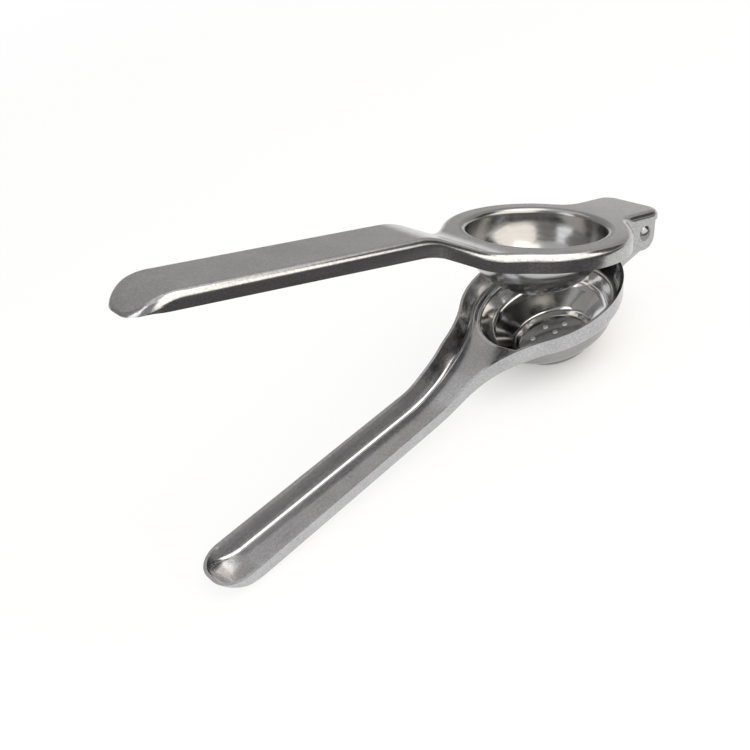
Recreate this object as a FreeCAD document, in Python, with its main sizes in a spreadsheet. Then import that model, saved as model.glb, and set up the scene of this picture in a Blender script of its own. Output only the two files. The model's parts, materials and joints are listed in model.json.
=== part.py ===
import FreeCAD, Part
import math
import os
import re
import Sketcher
from FreeCAD import Placement, Rotation, Vector

# Hand-held citrus press: two pressed steel levers on one rivet, a press cup in the upper
# lever and a strainer bowl in the lower one. Lengths are millimetres, angles degrees.
# Each lever is drawn as a tray that opens downwards, with the ring's centre at the origin
# and the hinge towards +X. The lower lever is then turned over.

SIZES = [
    ("sheet_gauge", "1.1", "thickness of the steel sheet"),
    ("upper_bend_radius", "2.5", "outside radius where the upper web turns into its skirt"),
    ("lower_bend_radius", "2.5", "outside radius where the lower web turns into its wall"),
    ("nest_clearance", "0.3", "side gap between a cheek and the ear inside it"),
    ("running_clearance", "0.08", "radial play of the rivet in the ears and the sleeve"),
    ("crown", "14", "height over a ring's web at which the levers' blocks start"),
    ("draw_room", "20", "half height of the block that a lever is cut from"),
    ("end_room", "6", "how far a trimming outline runs past the lever"),
    ("bowl_radius", "24.9", "inside of the strainer bowl at its rim"),
    ("bowl_rim", "2", "upright part of the strainer bowl's wall"),
    ("bowl_lip", "0.8", "soft edge of the strainer bowl's rim"),
    ("bowl_flange_width", "0.5", "width of the strainer bowl's flange"),
    ("bowl_flange", "=bowl_radius + sheet_gauge + bowl_flange_width", "outside of that flange"),
    ("bowl_depth", "17.6", "outside depth of the strainer bowl"),
    ("bowl_wall_depth", "8.8", "depth where the wall turns inwards"),
    ("bowl_wall_taper", "2.6", "how much narrower the bowl is there"),
    ("bowl_wall_radius", "=bowl_radius + sheet_gauge - bowl_wall_taper", "outside radius there"),
    ("bowl_step_height", "3", "height of the step above the floor"),
    ("bowl_step_radius", "15.6", "outside radius of the step"),
    ("bowl_step_draft", "1.2", "how much narrower the floor is than the step"),
    ("bowl_turn", "7", "outside bend below the wall"),
    ("bowl_step_bend", "1.6", "outside bend at the step"),
    ("bowl_floor_bend", "1.4", "outside bend round the floor"),
    ("strainer_hole", "1.15", "radius of a strainer hole"),
    ("outer_hole_circle", "8.7", "circle of the outer strainer holes"),
    ("inner_hole_circle", "3.9", "circle of the inner strainer holes"),
    ("outer_hole_start", "14", "angle of the first outer hole"),
    ("inner_hole_start", "37", "angle of the first inner hole"),
    ("cup_radius", "=bowl_radius", "inside of the press cup below its lip, as wide as the bowl"),
    ("cup_depth", "23.3", "inside depth of the press cup"),
    ("cup_lip", "2", "soft edge of the press cup"),
    ("cup_flange_width", "0.7", "flat part of the press cup's flange"),
    ("cup_flange", "=cup_radius + cup_lip + cup_flange_width", "outside of that flange"),
    ("cup_shoulder", "19.1", "outside radius of the press cup's side"),
    ("ring_land", "2.5", "bowl's flange to the lower ring's outside"),
    ("lower_ring_radius", "=bowl_flange + ring_land", "outside of the lower ring, at its web"),
    ("ring_gap", "4.1", "side gap between the two rings when they meet"),
    ("pivot_gap", "14.6", "lower ring's outside to rivet axis, along the lever"),
    ("pivot_reach", "=lower_ring_radius + pivot_gap", "ring centre to rivet axis"),
    ("pivot_drop", "7.8", "rivet axis below the upper ring's face"),
    ("ring_spacing", "14.5", "upper ring's face to lower web's face, levers parallel"),
    ("opening_angle", "23.6", "angle between the levers at rest"),
    ("nose_length", "9", "rounded-over end of each handle"),
    ("nose_angle", "36", "droop of that end"),
    ("nose_radius", "18", "bend into that end"),
    ("upper_ring_radius", "=lower_ring_radius + sheet_gauge + ring_gap", "outside of the upper ring"),
    ("upper_ring_skirt", "6.5", "depth of the upper ring's skirt"),
    ("upper_ring_draft", "0", "flare of that skirt"),
    ("upper_handle_half", "12.5", "half width of the upper handle"),
    ("upper_handle_end", "159.5", "ring centre to the end of the upper handle"),
    ("upper_handle_corner", "10.5", "plan corners of the upper handle's end"),
    ("upper_handle_draft", "0", "flare of the upper handle's skirt"),
    ("upper_handle_skirt", "6.1", "depth of the upper handle's skirt"),
    ("upper_ramp_gap", "0.2", "upper ring's outside to where its handle starts to rise"),
    ("upper_ramp_run", "22.9", "length of that rise"),
    ("upper_ramp_foot", "=upper_ring_radius + upper_ramp_gap", "ring centre to the start of the rise"),
    ("upper_ramp_head", "=upper_ramp_foot + upper_ramp_run", "ring centre to the end of the rise"),
    ("upper_ramp_radius", "30", "bends of the web at the foot and the head of the rise"),
    ("upper_edge_radius", "30", "bends of the skirt's edge at the same two places"),
    ("upper_handle_rise", "9.6", "height of the upper handle over its ring there"),
    ("upper_handle_slope", "1.6", "further climb of the upper handle to its end"),
    ("upper_edge_slope", "2.1", "climb of the upper handle's lower edge"),
    ("upper_lap_length", "5.5", "end part of that edge, which dips to follow the handle's end"),
    ("upper_lap_angle", "18", "dip of that part"),
    ("upper_lap_radius", "10", "bend into that part"),
    ("upper_ramp_angle", "=atan(upper_handle_rise / upper_ramp_run) / (1 deg)", "slope of the rise"),
    ("upper_skirt_angle", "=atan((upper_handle_rise - upper_handle_skirt + upper_ring_skirt)"
     " / upper_ramp_run) / (1 deg)", "slope of the upper skirt's edge along the rise"),
    ("upper_throat", "45", "plan corners between the upper ring and its handle"),
    ("upper_neck_half", "14.2", "half width over the hinge cheeks"),
    ("upper_neck_corner", "6.4", "plan corners of the hood"),
    ("upper_neck_throat", "9", "plan corners between the upper ring and the hood"),
    ("hood_reach", "10.5", "rivet axis to the end of the hood"),
    ("upper_neck_end", "=pivot_reach + hood_reach", "ring centre to the end of the hood"),
    ("hood_lip", "3.5", "depth of the lip round the end of the hood"),
    ("cheek_margin", "6.4", "metal below the rivet in a cheek"),
    ("cheek_reach", "5.4", "rivet axis to the end of a cheek"),
    ("cheek_back", "6.2", "rivet axis to the lower front corner of a cheek"),
    ("cheek_round", "3", "rounding of that corner"),
    ("relief_back", "12", "rivet axis to the slot that parts the ring's skirt from the cheek"),
    ("relief_width", "1.3", "width of that slot at its top"),
    ("relief_top", "3", "top of that slot below the ring's face"),
    ("lower_ring_skirt", "8.3", "height of the lower ring's wall"),
    ("lower_ring_draft", "12", "flare of that wall"),
    ("handle_clearance", "0.2", "side gap between the handles when they meet"),
    ("lower_handle_half", "=upper_handle_half - sheet_gauge - handle_clearance",
     "half width of the lower handle"),
    ("lower_handle_end", "157.2", "ring centre to the end of the lower handle"),
    ("lower_handle_corner", "9.6", "plan corners of the lower handle's end"),
    ("lower_handle_draft", "20", "flare of the lower handle's walls"),
    ("lower_handle_skirt", "7", "height of the lower handle's walls"),
    ("lower_ramp_gap", "10", "lower ring's outside to where its handle starts to drop"),
    ("lower_ramp_run", "22", "length of that drop"),
    ("lower_ramp_foot", "=lower_ring_radius + lower_ramp_gap", "ring centre to the start of the drop"),
    ("lower_ramp_head", "=lower_ramp_foot + lower_ramp_run", "ring centre to the end of the drop"),
    ("lower_ramp_radius", "60", "bends of the web between the two"),
    ("lower_edge_radius", "30", "bends of the wall's edge between the two"),
    ("lower_handle_rise", "3.1", "drop of the lower handle below its ring there"),
    ("lower_handle_slope", "-1.6", "climb of the lower handle to its end"),
    ("lower_edge_slope", "=lower_handle_slope", "climb of the lower handle's upper edge"),
    ("lower_ramp_angle", "=atan(lower_handle_rise / lower_ramp_run) / (1 deg)", "slope of the drop"),
    ("lower_skirt_angle", "=atan((lower_handle_rise - lower_handle_skirt + lower_ring_skirt)"
     " / lower_ramp_run) / (1 deg)", "slope of the lower wall's edge beside the ring"),
    ("lower_throat", "50", "plan corners between the lower ring and its handle"),
    ("lower_neck_half", "=upper_neck_half - sheet_gauge - nest_clearance", "half width over the ears"),
    ("blank_reach", "18.4", "rivet axis to the end of the lower neck before it is trimmed"),
    ("lower_neck_end", "=pivot_reach + blank_reach", "ring centre to that end"),
    ("lower_neck_corner", "=2 * lower_bend_radius", "plan corners of that end"),
    ("lower_neck_throat", "9", "plan corners between the lower ring and its neck"),
    ("ear_depth", "=ring_spacing - pivot_drop + sheet_gauge", "rivet axis from the lower web's outside"),
    ("ear_margin", "5", "metal above the rivet in an ear"),
    ("ear_reach", "=hood_reach - upper_neck_corner", "rivet axis to the end of an ear"),
    ("ear_round", "4", "rounding of an ear's upper end"),
    ("ear_back", "4.1", "rivet axis to the upper front corner of an ear"),
    ("floor_reach", "2.6", "rivet axis to the end of the lower neck's floor"),
    ("dip_back", "5.8", "rivet axis to where the neck's wall climbs to an ear"),
    ("dip_run", "4.3", "length of the low wall in front of that"),
    ("dip_height", "4.3", "height of that wall"),
    ("rivet_radius", "2.25", "shank of the rivet"),
    ("rivet_head_radius", "2.9", "head of the rivet"),
    ("rivet_head_height", "1.5", "height of the domed head"),
    ("sleeve_radius", "3.7", "outside of the sleeve between the ears"),
]
OUTER_HOLES = 7
INNER_HOLES = 3
CLOSE = 1e-3
STEEP = 0.42

doc = FreeCAD.newDocument("citrus_press")
sizes = doc.addObject("Spreadsheet::Sheet", "sizes")
for row, (alias, amount, meaning) in enumerate(SIZES, 1):
    sizes.set("A%d" % row, alias)
    sizes.set("B%d" % row, amount)
    sizes.set("C%d" % row, meaning)
    sizes.setAlias("B%d" % row, alias)
doc.recompute()
ALIASES = {alias for alias, amount, meaning in SIZES}


def bound(formula):
    return re.sub(r"[a-z_]+", lambda w: "sizes." + w.group() if w.group() in ALIASES else w.group(), formula)


def value(formula):
    return float(sizes.evalExpression(formula))


def new_sketch(body, name, plane):
    sketch = body.newObject("Sketcher::SketchObject", name)
    support = [item for item in body.Origin.OriginFeatures if item.Role == plane][0]
    sketch.AttachmentSupport = [(support, "")]
    sketch.MapMode = "FlatFace"
    return sketch


def tie(sketch, kind, formula, *where):
    index = sketch.addConstraint(Sketcher.Constraint(kind, *where, value(formula)))
    sketch.setExpression("Constraints[%d]" % index, bound(formula))


def tie_point(sketch, side, end, across, up):
    if abs(value(across)) < CLOSE:
        sketch.addConstraint(Sketcher.Constraint("PointOnObject", side, end, -2))
    else:
        tie(sketch, "DistanceX", across, -1, 1, side, end)
    if abs(value(up)) < CLOSE:
        sketch.addConstraint(Sketcher.Constraint("PointOnObject", side, end, -1))
    else:
        tie(sketch, "DistanceY", up, -1, 1, side, end)


def arc_between(start, finish, radius):
    # Arc that turns left on its way from start to finish.
    chord = finish - start
    rise = math.sqrt(radius ** 2 - (chord.Length / 2) ** 2)
    centre = (start + finish) * 0.5 + Vector(-chord.y, chord.x, 0).normalize() * rise
    turn = [math.atan2(p.y - centre.y, p.x - centre.x) for p in (start, finish)]
    return Part.ArcOfCircle(Part.Circle(centre, Vector(0, 0, 1), radius), turn[0], turn[1])


def outline(body, name, plane, corners, left_arcs={}, right_arcs={}):
    # Closed outline through corners given as formulas. The two tables give the radius of
    # each side that isn't straight, by the way it turns.
    sketch = new_sketch(body, name, plane)
    spots = [Vector(value(across), value(up), 0) for across, up in corners]
    count = len(spots)
    ends = []
    for side in range(count):
        start, finish = spots[side], spots[(side + 1) % count]
        if side in left_arcs:
            sketch.addGeometry(arc_between(start, finish, value(left_arcs[side])))
        elif side in right_arcs:
            sketch.addGeometry(arc_between(finish, start, value(right_arcs[side])))
        else:
            sketch.addGeometry(Part.LineSegment(start, finish))
        ends.append((2, 1) if side in right_arcs else (1, 2))
    for side in range(count):
        after = (side + 1) % count
        sketch.addConstraint(Sketcher.Constraint("Coincident", side, ends[side][1], after, ends[after][0]))
        tie_point(sketch, side, ends[side][0], *corners[side])
    for side, radius in {**left_arcs, **right_arcs}.items():
        tie(sketch, "Radius", radius, side)
    return sketch


def circles(body, name, plane, discs):
    # Each disc is a centre and a radius, all formulas.
    sketch = new_sketch(body, name, plane)
    for across, up, radius in discs:
        centre = Vector(value(across), value(up), 0)
        side = sketch.addGeometry(Part.Circle(centre, Vector(0, 0, 1), value(radius)))
        tie_point(sketch, side, 3, across, up)
        tie(sketch, "Radius", radius, side)
    return sketch


def pad(body, sketch, length, both_ways=False, reverse=False):
    feature = body.newObject("PartDesign::Pad", sketch.Name + "_pad")
    feature.Profile = sketch
    feature.SideType = "Symmetric" if both_ways else "One side"
    feature.Reversed = reverse
    feature.setExpression("Length", bound(length))
    doc.recompute()
    return feature


def cut_through(body, sketch):
    feature = body.newObject("PartDesign::Pocket", sketch.Name + "_cut")
    feature.Profile = sketch
    feature.Type = "ThroughAll"
    feature.SideType = "Symmetric"
    doc.recompute()
    return feature


def turn_solid(body, sketch):
    feature = body.newObject("PartDesign::Revolution", sketch.Name + "_turn")
    feature.Profile = sketch
    feature.ReferenceAxis = (sketch, ["V_Axis"])
    feature.Angle = 360
    doc.recompute()
    return feature


def round_edges(body, name, radius, wanted):
    base = body.Tip
    names = ["Edge%d" % n for n, edge in enumerate(base.Shape.Edges, 1) if wanted(edge)]
    feature = body.newObject("PartDesign::Fillet", name)
    feature.Base = (base, names)
    feature.setExpression("Radius", bound(radius))
    doc.recompute()
    return feature


def hollow(body, name, wanted):
    base = body.Tip
    names = ["Face%d" % n for n, face in enumerate(base.Shape.Faces, 1) if wanted(face)]
    feature = body.newObject("PartDesign::Thickness", name)
    feature.Base = (base, names)
    feature.Reversed = True
    feature.setExpression("Value", bound("sheet_gauge"))
    doc.recompute()
    return feature


def level_face(height):
    def wanted(face):
        box = face.BoundBox
        return box.ZLength < CLOSE and abs(box.ZMin - height) < CLOSE
    return wanted


def upright_at(low, high):
    def wanted(edge):
        box = edge.BoundBox
        upright = box.ZLength > 1 and max(box.XLength, box.YLength) < box.ZLength
        return upright and low < box.XMin < high
    return wanted


def crosswise_at(across, up):
    def wanted(edge):
        box = edge.BoundBox
        near = abs(box.Center.x - across) < CLOSE and abs(box.Center.z - up) < CLOSE
        return near and max(box.XLength, box.ZLength) < CLOSE
    return wanted


def ring_at(radius, height):
    def wanted(edge):
        box = edge.BoundBox
        level = box.ZLength < CLOSE and abs(box.ZMin - height) < CLOSE
        return level and abs(box.XLength - 2 * radius) < CLOSE
    return wanted


def rim_of(shape):
    # Edges where an upward face of a block meets one of its upright walls.
    tops, walls = [], []
    for face in shape.Faces:
        low, high, near, far = face.ParameterRange
        normal = face.normalAt((low + high) / 2, (near + far) / 2)
        if normal.z > STEEP:
            tops.append(face)
        elif normal.z > -STEEP:
            walls.append(face)
    top_codes = {edge.hashCode() for face in tops for edge in face.Edges}
    wall_codes = {edge.hashCode() for face in walls for edge in face.Edges}
    shared = top_codes & wall_codes
    return lambda edge: edge.hashCode() in shared


def bend(corner, radius, before, after):
    # Start and finish of the arc that replaces a corner of a line running towards -X;
    # before and after are the line's climbs on either side of the corner.
    run = "%s * abs(tan((%s - %s) / 2))" % (radius, after, before)
    return [("%s + %s * cos(%s)" % (corner[0], run, before), "%s - %s * sin(%s)" % (corner[1], run, before)),
            ("%s - %s * cos(%s)" % (corner[0], run, after), "%s + %s * sin(%s)" % (corner[1], run, after))]


def bent_outline(body, name, start, bends, rest):
    # Outline whose middle part is a line with bends; start and rest are its plain corners.
    corners, left_arcs, right_arcs = list(start), {}, {}
    for corner, radius, before, after in bends:
        arcs = right_arcs if value(after) > value(before) else left_arcs
        arcs[len(corners)] = radius
        corners += bend(corner, radius, before, after)
    return outline(body, name, "XZ_Plane", corners + rest, left_arcs, right_arcs)


def flare(body, sketch, draft):
    # Block that starts above the web and widens towards the lever's open edge.
    sketch.setExpression("AttachmentOffset.Base.z", bound("crown"))
    feature = pad(body, sketch, "crown + draw_room", reverse=True)
    feature.setExpression("TaperAngle", bound(draft))
    doc.recompute()


def lever(label, own, trim, corner_rounds):
    # own is the first word of the lever's sizes.
    def size(word):
        return own + "_" + word

    body = doc.addObject("PartDesign::Body", label)
    half, end = size("handle_half"), size("handle_end")
    block = "2 * draw_room"
    radius = "%s - crown * tan(%s)" % (size("ring_radius"), size("ring_draft"))
    flare(body, circles(body, label + "_ring", "XY_Plane", [("0", "0", radius)]), size("ring_draft"))
    drop = "tan(%s) * (%s - %s)" % (size("edge_slope"), end, size("ramp_head"))
    inset = "(crown - %s + %s - %s) * tan(%s)" % (
        size("handle_rise"), size("handle_skirt"), drop, size("handle_draft"))
    width, reach, corner = ["(%s - %s)" % (full, inset) for full in (half, end, size("handle_corner"))]
    near, far = "%s - %s" % (corner, reach), "%s - %s" % (width, corner)
    strip = [("0", "-" + width), ("0", width), (near, width), ("-" + reach, far),
             ("-" + reach, "-(%s)" % far), (near, "-" + width)]
    flare(body, outline(body, label + "_handle", "XY_Plane", strip, {2: corner, 4: corner}),
          size("handle_draft"))
    reach, width = size("neck_end"), size("neck_half")
    strip = [("0", "-" + width), (reach, "-" + width), (reach, width), ("0", width)]
    pad(body, outline(body, label + "_neck", "XY_Plane", strip), block, True)
    stop, tail = value(size("neck_end")), -value(end)
    round_edges(body, label + "_throat", size("throat"), upright_at(tail / 2, -1))
    round_edges(body, label + "_neck_throat", size("neck_throat"), upright_at(1, stop - 1))
    round_edges(body, label + "_neck_corner", size("neck_corner"), upright_at(stop - 1, stop + 1))

    # Top line of the lever, from the hinge to the handle's end.
    slope, ramp = size("handle_slope"), size("ramp_angle")
    climb = "tan(%s) * (%s - nose_length - %s)" % (slope, end, size("ramp_head"))
    past, hinge = "-%s - end_room" % end, size("neck_end") + " + end_room"
    above, below = "draw_room + end_room", "-draw_room - end_room"
    foot = ("-" + size("ramp_foot"), "0")
    head = ("-" + size("ramp_head"), size("handle_rise"))
    nose = ("nose_length - " + end, "%s + %s" % (head[1], climb))
    bends = [(foot, size("ramp_radius"), "0", ramp), (head, size("ramp_radius"), ramp, slope),
             (nose, "nose_radius", slope, "-nose_angle")]
    nose_tip = (past, nose[1] + " - tan(nose_angle) * (nose_length + end_room)")
    cut_through(body, bent_outline(body, label + "_top", [(hinge, "0")], bends,
                                   [nose_tip, (past, above), (hinge, above)]))
    round_edges(body, label + "_bend", size("bend_radius"), rim_of(body.Tip.Shape))
    hollow(body, label + "_shell", level_face(-value("draw_room")))

    # Lower line: what the hinge needs, then the skirt's edge, which bends with the handle.
    edge, slope, radius = size("skirt_angle"), size("edge_slope"), size("edge_radius")
    foot = (foot[0], "-" + size("ring_skirt"))
    head = (head[0], "%s - %s" % (size("handle_rise"), size("handle_skirt")))
    tip = (past, "%s + tan(%s) * (%s + end_room - %s)" % (head[1], slope, end, size("ramp_head")))
    bends = [(foot, radius, "0", edge), (head, radius, edge, slope)]
    if size("lap_length") in ALIASES:
        run, dip = size("lap_length"), size("lap_angle")
        climb = "tan(%s) * (%s - %s - %s)" % (slope, end, run, size("ramp_head"))
        lap = ("%s - %s" % (run, end), "%s + %s" % (head[1], climb))
        bends.append((lap, size("lap_radius"), slope, "-" + dip))
        tip = (past, "%s - tan(%s) * (%s + end_room)" % (lap[1], dip, run))
    cut_through(body, bent_outline(body, label + "_trim", trim, bends, [tip, (past, below), (hinge, below)]))
    for number, (spot, radius) in enumerate(corner_rounds):
        place = crosswise_at(value(spot[0]), value(spot[1]))
        round_edges(body, "%s_corner_%d" % (label, number), radius, place)
    return body


def seat_and_bore(body, seat_radius, bore_depth, bore_radius):
    name = body.Label
    cut_through(body, circles(body, name + "_seat", "XY_Plane", [("0", "0", seat_radius)]))
    cut_through(body, circles(body, name + "_bore", "XZ_Plane", [("pivot_reach", bore_depth, bore_radius)]))


cheek_toe = "pivot_reach + cheek_reach"
cheek_foot = "-pivot_drop - cheek_margin"
relief = "pivot_reach - relief_back"
upper_trim = [("upper_neck_end + end_room", "-hood_lip"), (cheek_toe, "-hood_lip"), (cheek_toe, cheek_foot),
              ("pivot_reach - cheek_back", cheek_foot), (relief + " + relief_width", "-relief_top"),
              (relief, "-relief_top"), (relief, "-upper_ring_skirt")]
upper = lever("upper_lever", "upper", upper_trim,
              [(upper_trim[2], "cheek_reach"), (upper_trim[3], "cheek_round")])
seat_and_bore(upper, "cup_flange", "-pivot_drop", "rivet_radius")

ear_toe = "pivot_reach + ear_reach"
ear_top = "-ear_depth - ear_margin"
floor_end = "pivot_reach + floor_reach"
dip_end = "pivot_reach - dip_back"
dip_start = dip_end + " - dip_run"
lower_trim = [("lower_neck_end + end_room", "end_room"), (floor_end, "end_room"),
              (floor_end, "-lower_bend_radius"), (ear_toe, "-ear_depth"), (ear_toe, ear_top),
              ("pivot_reach - ear_back", ear_top), (dip_end, "-dip_height"), (dip_start, "-dip_height"),
              (dip_start + " - relief_width", "-lower_ring_skirt")]
lower = lever("lower_lever", "lower", lower_trim,
              [(lower_trim[4], "ear_round"), (lower_trim[5], "cheek_round")])
seat_and_bore(lower, "bowl_flange", "-ear_depth", "rivet_radius + running_clearance")

# Press cup: lip, side and dome are arcs that run smoothly into each other, and its outside
# and its inside share their centres.
cup = doc.addObject("PartDesign::Body", "press_cup")
cup_wall = "(cup_radius + sheet_gauge)"
cup_drop = "(cup_depth + sheet_gauge - cup_lip)"
inset = "(%s - cup_shoulder)" % cup_wall
dome = "((%s^2 + %s^2 - cup_shoulder^2) / (2 * (%s - cup_shoulder)))" % (inset, cup_drop, cup_drop)


def where_side_meets_dome(radius):
    reach = "%s / (%s - cup_shoulder)" % (radius, dome)
    return ("%s * %s" % (reach, inset),
            "-cup_lip - %s + %s - %s * (%s - %s)" % (cup_drop, dome, reach, dome, cup_drop))


inner_dome = "(%s - sheet_gauge)" % dome
cup_line = [("0", "-cup_lip - " + cup_drop), where_side_meets_dome(dome), (cup_wall, "-cup_lip"),
            ("cup_radius + cup_lip", "-sheet_gauge"), ("cup_flange", "-sheet_gauge"), ("cup_flange", "0"),
            ("cup_radius + cup_lip", "0"), ("cup_radius", "-cup_lip"),
            where_side_meets_dome(inner_dome), ("0", "sheet_gauge - cup_lip - " + cup_drop)]
turn_solid(cup, outline(cup, "cup_line", "XZ_Plane", cup_line,
                        {0: dome, 1: "cup_shoulder", 6: "cup_lip"},
                        {2: "cup_lip - sheet_gauge", 7: "cup_shoulder - sheet_gauge", 8: inner_dome}))

bowl = doc.addObject("PartDesign::Body", "strainer_bowl")
bowl_wall = "bowl_radius + sheet_gauge"
floor_corner = ("bowl_step_radius - bowl_step_draft", "-bowl_depth")
step_corner = ("bowl_step_radius", "bowl_step_height - bowl_depth")
wall_corner = ("bowl_wall_radius", "-bowl_wall_depth")
bowl_line = [("0", "0"), ("0", "-bowl_depth"), floor_corner, step_corner, wall_corner,
             (bowl_wall, "-bowl_rim"), (bowl_wall, "0")]
turn_solid(bowl, outline(bowl, "bowl_line", "XZ_Plane", bowl_line))
for corner, radius in ((wall_corner, "bowl_turn"), (step_corner, "bowl_step_bend"),
                       (floor_corner, "bowl_floor_bend")):
    round_edges(bowl, radius + "_edge", radius, ring_at(*map(value, corner)))
hollow(bowl, "bowl_shell", level_face(0))
flange = circles(bowl, "bowl_flange", "XY_Plane", [("0", "0", "bowl_flange"),
                                                   ("0", "0", "bowl_radius + sheet_gauge / 2")])
pad(bowl, flange, "sheet_gauge", reverse=True)
round_edges(bowl, "bowl_edge", "bowl_lip", ring_at(value("bowl_radius"), 0))
holes = []
for count, own in ((OUTER_HOLES, "outer"), (INNER_HOLES, "inner")):
    for step in range(count):
        angle = "(%s_hole_start + 360 * %d / %d)" % (own, step, count)
        across, up = ["%s_hole_circle * %s%s" % (own, turn, angle) for turn in ("cos", "sin")]
        holes.append((across, up, "strainer_hole"))
cut_through(bowl, circles(bowl, "strainer_holes", "XY_Plane", holes))

# Rivet and sleeve stand upright here and are laid along the hinge axis below.
rivet = doc.addObject("PartDesign::Body", "hinge_rivet")
crown = "(rivet_head_radius^2 + rivet_head_height^2) / (2 * rivet_head_height)"
tip = "upper_neck_half + rivet_head_height"
rivet_line = [("0", "-(%s)" % tip), ("rivet_head_radius", "-upper_neck_half"),
              ("rivet_radius", "-upper_neck_half"), ("rivet_radius", "upper_neck_half"),
              ("rivet_head_radius", "upper_neck_half"), ("0", tip)]
turn_solid(rivet, outline(rivet, "rivet_line", "XZ_Plane", rivet_line, {0: crown, 4: crown}))
sleeve = doc.addObject("PartDesign::Body", "hinge_sleeve")
pad(sleeve, circles(sleeve, "sleeve_ring", "XY_Plane", [("0", "0", "sleeve_radius"),
                                                       ("0", "0", "rivet_radius + running_clearance")]),
    "2 * (lower_neck_half - sheet_gauge)", True)

for item in doc.Objects:
    if "Invalid" in item.State or "Error" in item.State:
        raise RuntimeError("%s: %s" % (item.Name, item.State))
NODES = [upper, cup, lower, bowl, rivet, sleeve]
for node in NODES:
    if node.Shape.isNull() or not node.Shape.isValid() or len(node.Shape.Solids) != 1:
        raise RuntimeError("%s isn't one valid solid" % node.Label)

# Own frames: the lower one has its web's face at zero, the upper one its ring's face.
crosswise = Vector(0, 1, 0)
turned_over = Placement(Vector(0, 0, -value("sheet_gauge")), Rotation(Vector(1, 0, 0), 180))
laid_across = Rotation(Vector(1, 0, 0), 90)
pivot_in_upper = Vector(value("pivot_reach"), 0, -value("pivot_drop"))
pivot_in_lower = Vector(value("pivot_reach"), 0, value("ring_spacing - pivot_drop"))
opened = Rotation(crosswise, value("opening_angle"))
upper_to_lower = Placement(pivot_in_lower - opened.multVec(pivot_in_upper), opened)
across_pivot = Placement(pivot_in_lower, laid_across)
in_lower = {upper: upper_to_lower, cup: upper_to_lower, lower: turned_over, bowl: Placement(),
            rivet: across_pivot, sleeve: across_pivot}


def points_of(node, place):
    return [place.multVec(spot) for spot in node.Shape.tessellate(0.02)[0]]


# The press lies on the bowl's floor and on the underside of the lower handle, so the lower
# lever leans by the angle at which both touch the table.
bowl_points = points_of(bowl, in_lower[bowl])
lever_points = points_of(lower, in_lower[lower])
low_lean, high_lean = 0.0, 30.0
while high_lean - low_lean > 1e-6:
    lean = (low_lean + high_lean) / 2
    leaning = Rotation(crosswise, -lean)
    gap = min(leaning.multVec(p).z for p in lever_points) - min(leaning.multVec(p).z for p in bowl_points)
    low_lean, high_lean = (lean, high_lean) if gap > 0 else (low_lean, lean)
table = Placement(Vector(), Rotation(crosswise, -lean))
everywhere = [p for node in NODES for p in points_of(node, table.multiply(in_lower[node]))]
middle = (min(p.x for p in everywhere) + max(p.x for p in everywhere)) / 2
table.Base = Vector(-middle, 0, -min(p.z for p in everywhere))
for node in NODES:
    node.Placement = table.multiply(in_lower[node])
doc.recompute()

os.makedirs("parts", exist_ok=True)
for node in NODES:
    node.Shape.exportStep("parts/%s.step" % node.Label)
    box = node.Shape.BoundBox
    corners = (box.XMin, box.YMin, box.ZMin, box.XMax, box.YMax, box.ZMax)
    print(node.Label, round(node.Shape.Volume), "mm3", [round(v, 2) for v in corners])
print("lean", round(lean, 3), "pivot", [round(v, 4) for v in table.multVec(pivot_in_lower)])
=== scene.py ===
import bmesh
import bpy
import json
import math
from mathutils import Matrix, Vector

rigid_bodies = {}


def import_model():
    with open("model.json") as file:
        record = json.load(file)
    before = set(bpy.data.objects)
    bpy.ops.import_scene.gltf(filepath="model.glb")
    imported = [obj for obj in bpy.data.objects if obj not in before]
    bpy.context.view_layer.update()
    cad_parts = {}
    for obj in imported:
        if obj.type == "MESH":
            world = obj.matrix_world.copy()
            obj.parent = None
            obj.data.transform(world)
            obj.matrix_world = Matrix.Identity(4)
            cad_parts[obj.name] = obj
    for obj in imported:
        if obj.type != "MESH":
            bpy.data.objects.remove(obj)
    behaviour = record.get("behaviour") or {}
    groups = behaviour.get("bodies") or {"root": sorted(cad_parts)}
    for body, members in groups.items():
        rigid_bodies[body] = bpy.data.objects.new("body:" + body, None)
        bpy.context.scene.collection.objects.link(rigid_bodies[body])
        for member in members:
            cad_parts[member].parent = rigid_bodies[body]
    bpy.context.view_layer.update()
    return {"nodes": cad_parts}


for leftOver in list(bpy.data.objects):  # the start-up cube, lamp and camera
    bpy.data.objects.remove(leftOver)

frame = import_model()
nodes = frame["nodes"]
print("loaded", sorted(nodes))


def linear(code):
    # sRGB hex to the linear colour that the sockets take
    parts = [int(code[i:i + 2], 16) / 255 for i in (1, 3, 5)]
    return [p / 12.92 if p <= 0.04045 else ((p + 0.055) / 1.055) ** 2.4 for p in parts] + [1.0]


def addNode(tree, kind, inputs=None, **settings):
    # inputs are fixed amounts or other nodes' outputs, settings are the node's own
    node = tree.nodes.new(kind)
    for name, amount in settings.items():
        setattr(node, name, amount)
    for socket, source in (inputs or {}).items():
        if hasattr(source, "is_output"):
            tree.links.new(source, node.inputs[socket])
        else:
            node.inputs[socket].default_value = source
    return node


def emptyMaterial(name):
    material = bpy.data.materials.new(name)
    material.use_nodes = True
    material.node_tree.nodes.clear()
    return material, material.node_tree


millimetre = 0.001
upperTilt = math.radians(16.71)  # how far the upper lever stands up from level
lowerTilt = math.radians(-6.89)  # and the lower one leans down
noiseSpan = (0.3, 0.7)  # where most of a noise's values lie
markDepth = 0.05 * millimetre  # of hairlines, rings and turning marks, before their bump strength
oneRing = 0.314  # scale at which a ring wave repeats every metre

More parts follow.
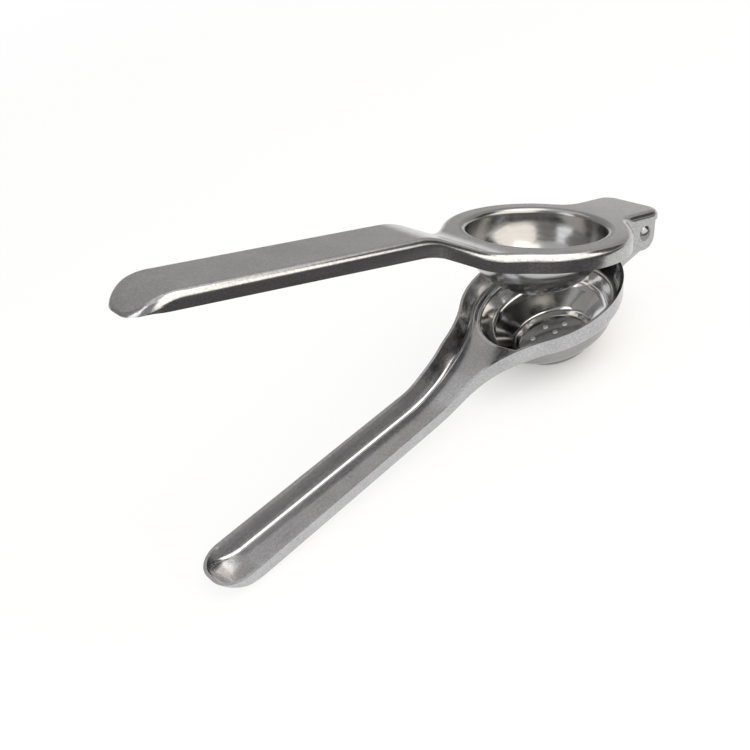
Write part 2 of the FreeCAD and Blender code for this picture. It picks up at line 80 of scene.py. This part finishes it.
# Pressed stainless sheet, belt-polished along its length. It shows the room softly,
# broken up by hairlines, and the belt's grit leaves its tone finely speckled.
upperLeverLook = {
    "material": "beltPolishedStainlessUpper",
    "light": "#c1c1c1", "dark": "#9f9fa0",
    "hairline": (55 * millimetre, 0.9 * millimetre),  # real ones are near 0.1 mm wide: coarser here, to show
    "cloud": 14 * millimetre,
    "grit": 0.7 * millimetre,  # the belt's grit, again coarser than it is
    "gritShare": 0.7, "gritSpan": (0.33, 0.67),  # against the clouds, and how hard it speckles
    "tilt": upperTilt,
    "roughness": (0.15, 0.23),
    "bump": 0.05,
}
lowerLeverLook = {
    "material": "beltPolishedStainlessLower",
    "light": "#c6c6c7", "dark": "#a4a4a6",
    "hairline": (55 * millimetre, 0.9 * millimetre),
    "cloud": 14 * millimetre,
    "grit": 0.7 * millimetre,
    "gritShare": 0.7, "gritSpan": (0.33, 0.67),
    "tilt": lowerTilt,
    "roughness": (0.12, 0.2),
    "bump": 0.05,
}


def beltPolished(look):
    material, tree = emptyMaterial(look["material"])
    place = addNode(tree, "ShaderNodeTexCoord")
    long, across = look["hairline"]
    along = addNode(tree, "ShaderNodeMapping", {
        "Vector": place.outputs["Object"], "Rotation": (0, look["tilt"], 0),
        "Scale": (long, across, across)}, vector_type="TEXTURE")
    hair = addNode(tree, "ShaderNodeTexNoise", {
        "Vector": along.outputs[0], "Scale": 1.0, "Detail": 3.0, "Roughness": 0.6})
    cloud = addNode(tree, "ShaderNodeTexNoise", {
        "Vector": place.outputs["Object"], "Scale": 1 / look["cloud"], "Detail": 2.0})
    grit = addNode(tree, "ShaderNodeTexNoise", {
        "Vector": place.outputs["Object"], "Scale": 1 / look["grit"], "Detail": 2.0, "Roughness": 0.7})
    patchy = addNode(tree, "ShaderNodeMix", {
        "Factor": look["gritShare"], "A": cloud.outputs["Fac"], "B": grit.outputs["Fac"]},
        data_type="FLOAT")
    spread = addNode(tree, "ShaderNodeMapRange", {
        "Value": patchy.outputs[0], "From Min": look["gritSpan"][0], "From Max": look["gritSpan"][1]})
    tone = addNode(tree, "ShaderNodeMix", {
        "Factor": spread.outputs[0], "A": linear(look["dark"]), "B": linear(look["light"])}, data_type="RGBA")
    gloss = addNode(tree, "ShaderNodeMapRange", {
        "Value": hair.outputs["Fac"], "From Min": noiseSpan[0], "From Max": noiseSpan[1],
        "To Min": look["roughness"][0], "To Max": look["roughness"][1]})
    scratch = addNode(tree, "ShaderNodeBump", {
        "Height": hair.outputs["Fac"], "Strength": look["bump"], "Distance": markDepth})
    shader = addNode(tree, "ShaderNodeBsdfPrincipled", {
        "Base Color": tone.outputs[2], "Metallic": 1.0, "Roughness": gloss.outputs[0],
        "Normal": scratch.outputs[0]})
    addNode(tree, "ShaderNodeOutputMaterial", {"Surface": shader.outputs["BSDF"]})
    return material


nodes["upper_lever"].material_slots[0].material = beltPolished(upperLeverLook)
nodes["lower_lever"].material_slots[0].material = beltPolished(lowerLeverLook)
print("levers finished")

# Deep-drawn stainless: the cup satin, the bowl buffed to a mirror. Each side's tone carries painted light
# and shade: the cup darker inside than out and the bowl darker outside than in, standing in for how
# the room's light falls on each side. The buffing wheel leaves faint rings round the axis.
pressCupLook = {
    "material": "satinDrawnStainless",
    # painted light and shade: darker inside, lighter outside, for how the light falls on each side
    "inside": ("#a3a3a1", "#959595"), "outside": ("#c0c0bf", "#b2b2b2"),
    "centre": (51.4 * millimetre, 0, 41.4 * millimetre), "tilt": upperTilt,
    "ring": 0.8 * millimetre,
    "grain": 0.6 * millimetre,  # real grain is finer than a pixel: coarser here, to show
    "grainShare": 0.6,
    "cloud": 11.11 * millimetre,
    "turnOver": 0.03,  # slope to the axis over which outside becomes inside, at the edge
    "roughness": (0.16, 0.24),
    "bump": 0.05,
}
strainerBowlLook = {
    "material": "mirrorBuffedStainless",
    # painted light and shade: darker outside, where it shows the white floor, lighter inside
    "inside": ("#d0d0cd", "#c2c2c2"), "outside": ("#a3a3a2", "#959595"),
    "centre": (53.4 * millimetre, 0, 1.6 * millimetre), "tilt": lowerTilt,
    "ring": 0.8 * millimetre,
    "grain": 0.6 * millimetre,
    "grainShare": 0.6,
    "cloud": 11.11 * millimetre,
    "turnOver": 0.03,
    "roughness": (0.08, 0.13),
    "bump": 0.02,
}


def drawnSteel(look):
    material, tree = emptyMaterial(look["material"])
    place = addNode(tree, "ShaderNodeTexCoord")
    own = addNode(tree, "ShaderNodeMapping", {
        "Vector": place.outputs["Object"], "Location": look["centre"], "Rotation": (0, look["tilt"], 0)},
        vector_type="TEXTURE")
    rings = addNode(tree, "ShaderNodeTexWave", {
        "Vector": own.outputs[0], "Scale": oneRing / look["ring"], "Distortion": 6.0,
        "Detail": 3.0, "Detail Scale": 0.6}, wave_type="RINGS", rings_direction="Z")
    grain = addNode(tree, "ShaderNodeTexNoise", {
        "Vector": own.outputs[0], "Scale": 1 / look["grain"], "Detail": 2.0})
    cloud = addNode(tree, "ShaderNodeTexNoise", {
        "Vector": own.outputs[0], "Scale": 1 / look["cloud"], "Detail": 2.0})
    paintedSideTones = []
    for side in ("outside", "inside"):
        light, dark = look[side]
        paintedSideTones.append(addNode(tree, "ShaderNodeMix", {
            "Factor": cloud.outputs["Fac"], "A": linear(dark), "B": linear(light)}, data_type="RGBA"))
    upwards = addNode(tree, "ShaderNodeVectorMath", {
        0: place.outputs["Normal"], 1: (math.sin(look["tilt"]), 0, math.cos(look["tilt"]))},
        operation="DOT_PRODUCT")
    # the inside looks up the axis and the outside down it
    within = addNode(tree, "ShaderNodeMapRange", {
        "Value": upwards.outputs["Value"], "From Min": -look["turnOver"], "From Max": look["turnOver"]})
    # painted light and shade by side: each side's colour stands in for how the light falls on it
    tone = addNode(tree, "ShaderNodeMix", {
        "Factor": within.outputs[0], "A": paintedSideTones[0].outputs[2], "B": paintedSideTones[1].outputs[2]}, data_type="RGBA")
    worn = addNode(tree, "ShaderNodeMix", {
        "Factor": look["grainShare"], "A": rings.outputs["Fac"], "B": grain.outputs["Fac"]},
        data_type="FLOAT")
    gloss = addNode(tree, "ShaderNodeMapRange", {
        "Value": worn.outputs[0], "From Min": noiseSpan[0], "From Max": noiseSpan[1],
        "To Min": look["roughness"][0], "To Max": look["roughness"][1]})
    marks = addNode(tree, "ShaderNodeBump", {
        "Height": worn.outputs[0], "Strength": look["bump"], "Distance": markDepth})
    shader = addNode(tree, "ShaderNodeBsdfPrincipled", {
        "Base Color": tone.outputs[2], "Metallic": 1.0, "Roughness": gloss.outputs[0],
        "Normal": marks.outputs[0]})
    addNode(tree, "ShaderNodeOutputMaterial", {"Surface": shader.outputs["BSDF"]})
    return material


nodes["press_cup"].material_slots[0].material = drawnSteel(pressCupLook)
nodes["strainer_bowl"].material_slots[0].material = drawnSteel(strainerBowlLook)
print("cup and bowl finished")

# Cold-headed rivet wire and turned tube: a little duller than the sheet, with fine turning marks.
hingeLook = {
    "hinge_rivet": {
        "material": "coldHeadedStainless",
        "light": "#9a9a99", "dark": "#7a7a79", "roughness": (0.14, 0.24)},
    "hinge_sleeve": {
        "material": "turnedStainless",
        "light": "#a9a9a8", "dark": "#919190", "roughness": (0.24, 0.36)},
    "pivot": (93.8 * millimetre, 0, 31.0 * millimetre),
    "turning": 0.5 * millimetre,
    "patch": 1.4286 * millimetre,
    "bump": 0.08,
}


def hingeSteel(look):
    material, tree = emptyMaterial(look["material"])
    place = addNode(tree, "ShaderNodeTexCoord")
    own = addNode(tree, "ShaderNodeMapping", {
        "Vector": place.outputs["Object"], "Location": hingeLook["pivot"]}, vector_type="TEXTURE")
    turning = addNode(tree, "ShaderNodeTexWave", {
        "Vector": own.outputs[0], "Scale": oneRing / hingeLook["turning"], "Distortion": 2.0, "Detail": 2.0},
        wave_type="RINGS", rings_direction="Y")
    patch = addNode(tree, "ShaderNodeTexNoise", {
        "Vector": own.outputs[0], "Scale": 1 / hingeLook["patch"], "Detail": 3.0})
    tone = addNode(tree, "ShaderNodeMix", {
        "Factor": patch.outputs["Fac"], "A": linear(look["dark"]), "B": linear(look["light"])},
        data_type="RGBA")
    gloss = addNode(tree, "ShaderNodeMapRange", {
        "Value": patch.outputs["Fac"], "From Min": noiseSpan[0], "From Max": noiseSpan[1],
        "To Min": look["roughness"][0], "To Max": look["roughness"][1]})
    marks = addNode(tree, "ShaderNodeBump", {
        "Height": turning.outputs["Fac"], "Strength": hingeLook["bump"], "Distance": markDepth})
    shader = addNode(tree, "ShaderNodeBsdfPrincipled", {
        "Base Color": tone.outputs[2], "Metallic": 1.0, "Roughness": gloss.outputs[0],
        "Normal": marks.outputs[0]})
    addNode(tree, "ShaderNodeOutputMaterial", {"Surface": shader.outputs["BSDF"]})
    return material


for part in ("hinge_rivet", "hinge_sleeve"):
    nodes[part].material_slots[0].material = hingeSteel(hingeLook[part])
print("hinge finished")

stageLook = {
    "floorSize": 8.0,
    "floorDrop": -0.3 * millimetre,  # clear of the bowl's floor
    "floorWhite": "#f7f7f6",
    "ownWhite": 0.85,  # share of the floor's white that no shadow takes away
    "fade": (0.35, 1.1),  # metres from the bowl over which that share grows to all of it
    "underBowl": 0.4,  # of that share, right under the bowl, so that the strainer holes look down into shade
    "underReach": (15 * millimetre, 45 * millimetre),
    "bowlFoot": (53.4 * millimetre, 0, 0),
    "room": 0.6,  # what the world gives as light
    "middle": (0, 0, 0.05),  # what the lamps and cards face
}


def seenAsWhite(tree):
    # 1 for the rays that look at the background, 0 for those that carry light
    ray = addNode(tree, "ShaderNodeLightPath")
    seen = addNode(tree, "ShaderNodeMath", {
        0: ray.outputs["Is Camera Ray"], 1: ray.outputs["Is Glossy Ray"]}, operation="MAXIMUM")
    return addNode(tree, "ShaderNodeMath", {
        0: seen.outputs[0], 1: ray.outputs["Is Transmission Ray"]}, operation="MAXIMUM").outputs[0]


def stagePiece(name, shape, material):
    mesh = bpy.data.meshes.new(name)
    shape.to_mesh(mesh)
    shape.free()
    mesh.materials.append(material)
    piece = bpy.data.objects.new(name, mesh)
    bpy.context.collection.objects.link(piece)
    return piece


def makeFloor():
    shape = bmesh.new()
    bmesh.ops.create_grid(shape, x_segments=1, y_segments=1, size=stageLook["floorSize"] / 2)
    bmesh.ops.translate(shape, vec=(0, 0, stageLook["floorDrop"]), verts=shape.verts)
    material, tree = emptyMaterial("matteWhitePaper")
    place = addNode(tree, "ShaderNodeTexCoord").outputs["Object"]
    away = addNode(tree, "ShaderNodeVectorMath", {0: place, 1: stageLook["bowlFoot"]}, operation="DISTANCE")
    share = seenAsWhite(tree)
    for least, reach in (("underBowl", "underReach"), ("ownWhite", "fade")):
        start, stop = stageLook[reach]
        growth = addNode(tree, "ShaderNodeMapRange", {
            "Value": away.outputs["Value"], "From Min": start, "From Max": stop, "To Min": stageLook[least]})
        product = addNode(tree, "ShaderNodeMath", {0: share, 1: growth.outputs[0]}, operation="MULTIPLY")
        share = product.outputs[0]
    paper = addNode(tree, "ShaderNodeBsdfDiffuse", {"Color": linear(stageLook["floorWhite"])})
    glow = addNode(tree, "ShaderNodeEmission", {"Color": (1, 1, 1, 1), "Strength": 1.0})
    both = addNode(tree, "ShaderNodeMixShader", {0: share, 1: paper.outputs[0], 2: glow.outputs[0]})
    addNode(tree, "ShaderNodeOutputMaterial", {"Surface": both.outputs[0]})
    stagePiece("floor", shape, material)


# Grey cards that only the steel's reflections see, as flags stand round a studio table:
# azimuth and elevation they cover, in degrees, and their grey.
cardSet = {
    "cardFrontRight": {"azimuth": (-38, -6), "elevation": (1, 37), "grey": "#5a5a5c"},
    "cardFrontLeft": {"azimuth": (-168, -131), "elevation": (4, 68), "grey": "#a8a8aa"},
    "cardBackLeft": {"azimuth": (113, 149), "elevation": (12, 56), "grey": "#9c9c9e"},
    "cardBackRight": {"azimuth": (-6, 108), "elevation": (0, 50), "grey": "#bababb"},
}
cardReach = 0.9
# dark cloth over the front of the white table
clothLook = {"near": -0.105, "far": -1.9, "half": 1.6, "lift": 0.2 * millimetre, "grey": "#555557"}


def greyCloth(name, code):
    material, tree = emptyMaterial(name)
    cloth = addNode(tree, "ShaderNodeBsdfDiffuse", {"Color": linear(code)})
    addNode(tree, "ShaderNodeOutputMaterial", {"Surface": cloth.outputs[0]})
    return material


def facing(azimuth, elevation, reach):
    # a frame at that direction from the object, its -Z looking back at it
    a, e = math.radians(azimuth), math.radians(elevation)
    away = Vector((math.cos(a) * math.cos(e), math.sin(a) * math.cos(e), math.sin(e)))
    turn = (-away).to_track_quat("-Z", "Y").to_matrix().to_4x4()
    return Matrix.Translation(Vector(stageLook["middle"]) + away * reach) @ turn


def makeFlag(name, wide, tall, place, material):
    shape = bmesh.new()
    bmesh.ops.create_grid(shape, x_segments=1, y_segments=1, size=0.5)
    bmesh.ops.scale(shape, vec=(wide, tall, 1), verts=shape.verts)
    bmesh.ops.transform(shape, matrix=place, verts=shape.verts)
    piece = stagePiece(name, shape, material)
    piece.visible_camera = piece.visible_diffuse = piece.visible_shadow = piece.visible_transmission = False


def makeCards():
    for name, card in cardSet.items():
        (left, right), (low, high) = card["azimuth"], card["elevation"]
        wide, tall = [2 * cardReach * math.tan(math.radians(span) / 2) for span in (right - left, high - low)]
        place = facing((left + right) / 2, (low + high) / 2, cardReach)
        makeFlag(name, wide, tall, place, greyCloth(name + "Paper", card["grey"]))
    near, far = clothLook["near"], clothLook["far"]
    place = Matrix.Translation((0, (near + far) / 2, clothLook["lift"]))
    cloth = greyCloth("charcoalCloth", clothLook["grey"])
    makeFlag("frontCloth", 2 * clothLook["half"], near - far, place, cloth)


def makeWorld():
    world = bpy.data.worlds.new("studio")
    bpy.context.scene.world = world
    world.use_nodes = True
    tree = world.node_tree
    tree.nodes.clear()
    room = addNode(tree, "ShaderNodeBackground", {"Color": (1, 1, 1, 1), "Strength": stageLook["room"]})
    white = addNode(tree, "ShaderNodeBackground", {"Color": (1, 1, 1, 1), "Strength": 1.0})
    both = addNode(tree, "ShaderNodeMixShader", {
        0: seenAsWhite(tree), 1: room.outputs[0], 2: white.outputs[0]})
    addNode(tree, "ShaderNodeOutputWorld", {"Surface": both.outputs[0]})


# azimuth and elevation of a lamp's middle in degrees, its width and height in metres, and the
# brightness of its face
lampSet = {
    "softboxFront": {"at": (-82, 35), "size": (1.84, 1.3), "level": 1.5, "colour": "#fff1e0"},
    "softboxTop": {"at": (-45, 66), "size": (0.9, 0.8), "level": 2.3, "colour": "#fffaf3"},
    "softboxLeft": {"at": (172, 40), "size": (0.6, 1.0), "level": 1.1, "colour": "#f6f8ff"},
}
lampReach = 1.2


def makeLamps():
    for name, lamp in lampSet.items():
        light = bpy.data.lights.new(name, "AREA")
        light.shape = "RECTANGLE"
        light.size, light.size_y = lamp["size"]
        light.energy = lamp["level"] * math.pi * light.size * light.size_y
        light.color = linear(lamp["colour"])[:3]
        box = bpy.data.objects.new(name, light)
        bpy.context.collection.objects.link(box)
        box.matrix_world = facing(*lamp["at"], lampReach)


shot = {
    "lens": 48.0,
    "sensor": 36.0,
    "place": (-0.16052, -0.24351, 0.21859),
    "target": (-0.02516, 0.00219, 0.03443),
    "rollDeg": -17.141,
    "nearest": 0.01,
}


def makeCamera():
    data = bpy.data.cameras.new("camera")
    data.lens, data.sensor_width = shot["lens"], shot["sensor"]
    data.clip_start = shot["nearest"]
    camera = bpy.data.objects.new("camera", data)
    bpy.context.collection.objects.link(camera)
    aim = (Vector(shot["target"]) - Vector(shot["place"])).to_track_quat("-Z", "Y").to_matrix()
    roll = Matrix.Rotation(math.radians(shot["rollDeg"]), 3, "Z")
    camera.matrix_world = Matrix.Translation(shot["place"]) @ (aim @ roll).to_4x4()
    bpy.context.scene.camera = camera


makeFloor()
makeCards()
makeWorld()
makeLamps()
makeCamera()
bpy.context.scene.view_settings.view_transform = "Standard"
print("stage, lamps and camera set")
